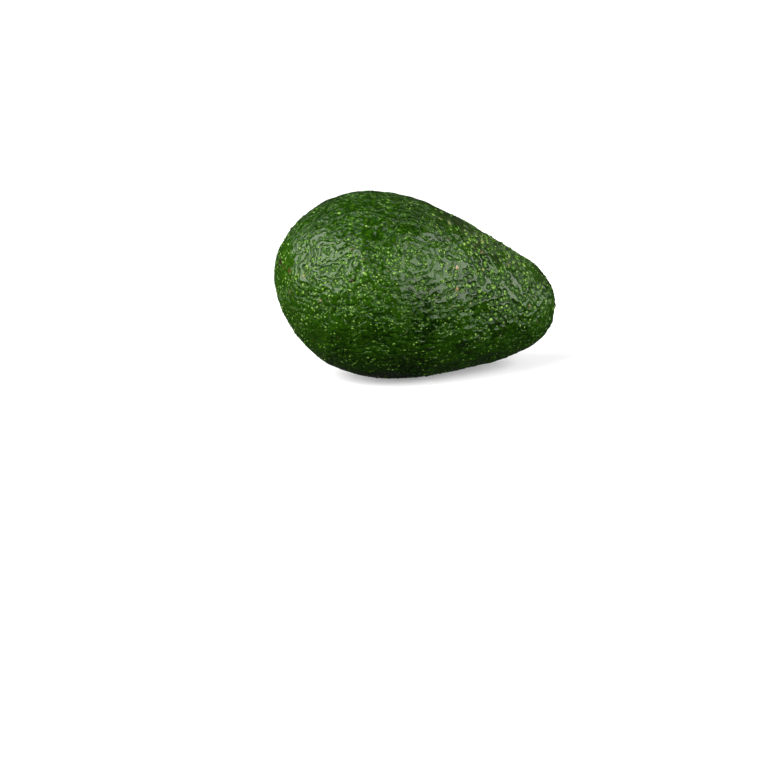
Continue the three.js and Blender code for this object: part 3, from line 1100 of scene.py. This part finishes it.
def button_mesh():
    body = bmesh.new()
    scar = body.verts.layers.float.new("from_pith")
    rings = []
    for radius, height in BUTTON_PROFILE:
        on_face = min(max((height - SCAR_STARTS) / (SCAR_FULL - SCAR_STARTS), 0), 1)
        ring = []
        for i in range(BUTTON_SIDES if radius else 1):
            turn = math.tau * i / BUTTON_SIDES
            x, y = radius * math.cos(turn), radius * math.sin(turn)
            wobble = noise.noise(Vector((x * 0.9, y * 0.9, 4.0)))
            grain = noise.noise(Vector((x * 3.1, y * 3.1, 9.0)))
            edge = noise.noise(Vector((math.cos(turn) * 2, math.sin(turn) * 2, 1.0)))
            edge = 1 + EDGE_WOBBLE * edge
            shift = SCAR_OFFSET * on_face * (1 - (radius / BUTTON_RADIUS) ** 2)
            roughness = on_face * (FACE_WOBBLE * wobble + FACE_GRAIN * grain)
            vertex = body.verts.new((x * edge + shift, y * edge, height + roughness))
            vertex[scar] = radius + RING_WOBBLE * wobble
            ring.append(vertex)
        rings.append(ring)
    for low, high in zip(rings, rings[1:]):
        for i in range(BUTTON_SIDES):
            j = (i + 1) % BUTTON_SIDES
            if len(low) == 1:
                body.faces.new((low[0], high[j], high[i]))
            elif len(high) == 1:
                body.faces.new((low[i], low[j], high[0]))
            else:
                body.faces.new((low[i], low[j], high[j], high[i]))
    bmesh.ops.recalc_face_normals(body, faces=body.faces[:])
    mesh = bpy.data.meshes.new("stem_stub")
    onto_the_tip = Matrix.Translation(Vector(stem_tip[0])) @ Matrix.Rotation(math.pi / 2, 4, "Y")
    lying = Matrix.Translation(Vector(fruit_middle)) @ Matrix.Rotation(REST_TILT, 4, "Y")
    body.transform(Matrix.Scale(MM, 4) @ lying @ onto_the_tip)
    body.to_mesh(mesh)
    body.free()
    mesh.shade_smooth()
    return mesh


stub = new_object("stem_stub", button_mesh())
print("faces of the stub:", len(stub.data.polygons))

# %% Stub material
STUB_RINGS = (
    (0.00, (0.46, 0.25, 0.10)),
    (0.22, (0.32, 0.15, 0.06)),
    (0.34, (0.13, 0.046, 0.022)),
    (0.50, (0.22, 0.09, 0.038)),
    (0.62, (0.13, 0.035, 0.015)),
    (0.70, (0.25, 0.14, 0.040)),
    (0.82, (0.30, 0.20, 0.065)),
    (1.00, (0.12, 0.09, 0.025)),
)
RINGS_REACH = 5.2
RING_RAGGEDNESS = 0.9
STAIN = (0.09, 0.03, 0.012)
STAIN_SIZE = 0.6
GRAIN_SIZE = 0.3
CORK_ROUGHNESS = 0.6

stub_material, tree, shader = new_material("cork of the stub")
where = add(tree, "ShaderNodeTexCoord").outputs["Object"]
ragged = product(tree, noise_at(tree, where, 0.8, detail=3), RING_RAGGEDNESS)
ragged = maths(tree, "SUBTRACT", ragged, RING_RAGGEDNESS / 2)
ring_at = maths(tree, "DIVIDE", total(tree, attribute(tree, "from_pith"), ragged), RINGS_REACH)
stain = noise_at(tree, where, STAIN_SIZE, detail=5, roughness=0.7)
stain = remap(tree, stain, 0.42, 0.62, 0.0, 0.75)
colour = mix_colours(tree, stain, colour_ramp(tree, ring_at, STUB_RINGS), STAIN)
tree.links.new(colour, shader.inputs["Base Color"])
shader.inputs["Roughness"].default_value = CORK_ROUGHNESS
grain = noise_at(tree, where, GRAIN_SIZE, detail=4, roughness=0.65)
bump = add(tree, "ShaderNodeBump", {"Height": grain, "Distance": GRAIN_SIZE * MM, "Strength": 1.0})
tree.links.new(bump.outputs[0], shader.inputs["Normal"])
stub.data.materials.append(stub_material)
print("rings of colour on the stub:", len(STUB_RINGS))

# %% [markdown]
# ## Table and light
# The table is a plain white sheet. Two large softboxes stand in front of the fruit, one high on the
# left and one on the right, and give the broad broken reflections on the wax. The sheet is seen, and
# takes shadows, but throws no light on the fruit, so that its underside stays dark and only the
# softboxes show in the wax. The sheet glows, more so away from the fruit, and a third light shines
# on it from above and behind the fruit, so that it fades to pure white.

# %% Table and backdrop: one sheet that sweeps up behind the fruit
SHEET_WIDTH = 30.0
SHEET_FRONT = 12.0
SHEET_BACK = 0.55
SWEEP_RADIUS = 0.6
SHEET_TOP = 3.0
SWEEP_STEPS = 24
SHEET_DROP = 0.02 * MM

profile = [(-SHEET_FRONT, 0.0), (SHEET_BACK, 0.0)]
for step in range(1, SWEEP_STEPS + 1):
    turn = math.pi / 2 * step / SWEEP_STEPS
    profile.append((SHEET_BACK + SWEEP_RADIUS * math.sin(turn), SWEEP_RADIUS * (1 - math.cos(turn))))
profile.append((SHEET_BACK + SWEEP_RADIUS, SHEET_TOP))
away = Vector((-camera_back.x, -camera_back.y, 0)).normalized()
sheet = bmesh.new()
rows = []
for depth, height in profile:
    line = away * depth + Vector((0, 0, height - SHEET_DROP))
    sides = (-SHEET_WIDTH / 2, SHEET_WIDTH / 2)
    rows.append([sheet.verts.new(line + camera_right * side) for side in sides])
for near, far in zip(rows, rows[1:]):
    sheet.faces.new((near[0], near[1], far[1], far[0]))
sheet_mesh = bpy.data.meshes.new("table")
sheet.to_mesh(sheet_mesh)
sheet.free()
sheet_mesh.shade_smooth()
table = new_object("table", sheet_mesh)
print("faces of the sheet:", len(sheet_mesh.polygons))

# %% Table material
TABLE_WHITE = (0.8, 0.8, 0.8, 1)
GLOW_FROM_FRUIT = (0.4, 1.2)
GLOW = (0.25, 1.0)

table_material, tree, shader = new_material("white table")
shader.inputs["Base Color"].default_value = TABLE_WHITE
shader.inputs["Emission Color"].default_value = (1, 1, 1, 1)
from_fruit = vector_maths(tree, "LENGTH", add(tree, "ShaderNodeTexCoord").outputs["Object"])
glow = remap(tree, from_fruit, *GLOW_FROM_FRUIT, *GLOW)
tree.links.new(glow, shader.inputs["Emission Strength"])
shader.inputs["Roughness"].default_value = 0.9
shader.inputs["Specular IOR Level"].default_value = 0.2
table.data.materials.append(table_material)
table.visible_glossy = False
table.visible_diffuse = False

# %% Softboxes and the backdrop's light
LIGHTS = (
    # name, azimuth from the camera and elevation in degrees,
    # distance, width and height in metres, brightness
    ("left softbox", -60, 31, 0.9, 1.12, 0.92, 8.3),
    ("right softbox", 68, 22, 0.9, 1.3, 0.85, 5.6),
)
BACKDROP_LIGHT_SIZE = (2.4, 0.4)
BACKDROP_BRIGHTNESS = 2.2
ROOM_BRIGHTNESS = 0.03


def softbox(name, stand, target, width, height, brightness):
    light = bpy.data.lights.new(name, "AREA")
    light.shape = "RECTANGLE"
    light.size, light.size_y = width, height
    light.energy = brightness * math.pi * width * height
    lamp = new_object(name, light)
    lamp.location = stand
    lamp.rotation_mode = "QUATERNION"
    lamp.rotation_quaternion = (target - stand).to_track_quat("-Z", "Y")
    lamp.visible_camera = False
    return lamp


for name, azimuth, elevation, distance, width, height, brightness in LIGHTS:
    turn, rise = math.radians(azimuth), math.radians(elevation)
    level = camera_right * math.sin(turn) - away * math.cos(turn)
    stand = middle + distance * (level * math.cos(rise) + Vector((0, 0, math.sin(rise))))
    softbox(name, stand, middle, width, height, brightness)
behind_fruit = away * 0.6 + Vector((0, 0, 0.8))
on_backdrop = away * 1.1 + Vector((0, 0, 0.1))
backdrop_light = softbox(
    "backdrop light", behind_fruit, on_backdrop, *BACKDROP_LIGHT_SIZE, BACKDROP_BRIGHTNESS
)
backdrop_light.visible_glossy = False
print("lights:", len(bpy.data.lights))

# %% A faint light from all sides, and plain colours
world = bpy.data.worlds.new("pale room")
bpy.context.scene.world = world
world.use_nodes = True
background = world.node_tree.nodes["Background"]
background.inputs["Color"].default_value = (1.0, 1.0, 1.0, 1)
background.inputs["Strength"].default_value = ROOM_BRIGHTNESS
bpy.context.scene.view_settings.view_transform = "Standard"
bpy.context.scene.view_settings.look = "None"
print("strength of the room's light:", ROOM_BRIGHTNESS)

# %% [markdown]
# ## The pieces and the plain solids
# The skin stands in for the plain solid of the fruit, and the stub for that of the stem button; both
# solids are hidden. The lenticels and specks are extra pieces beside the skin. All of it moves as one body.

# %% Attach each piece and hide the plain solid that it stands for
PIECES = (
    # piece, plain solid that it stands for, slot
    (skin, "fruit", "skin"),
    (lenticels, None, "skin"),
    (specks, None, "skin"),
    (stub, "stem_button", "stem"),
)
for piece, node, slot in PIECES:
    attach(piece, "root")
    if node:
        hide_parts(node)
print("pieces:", [piece.name for piece, _, _ in PIECES])
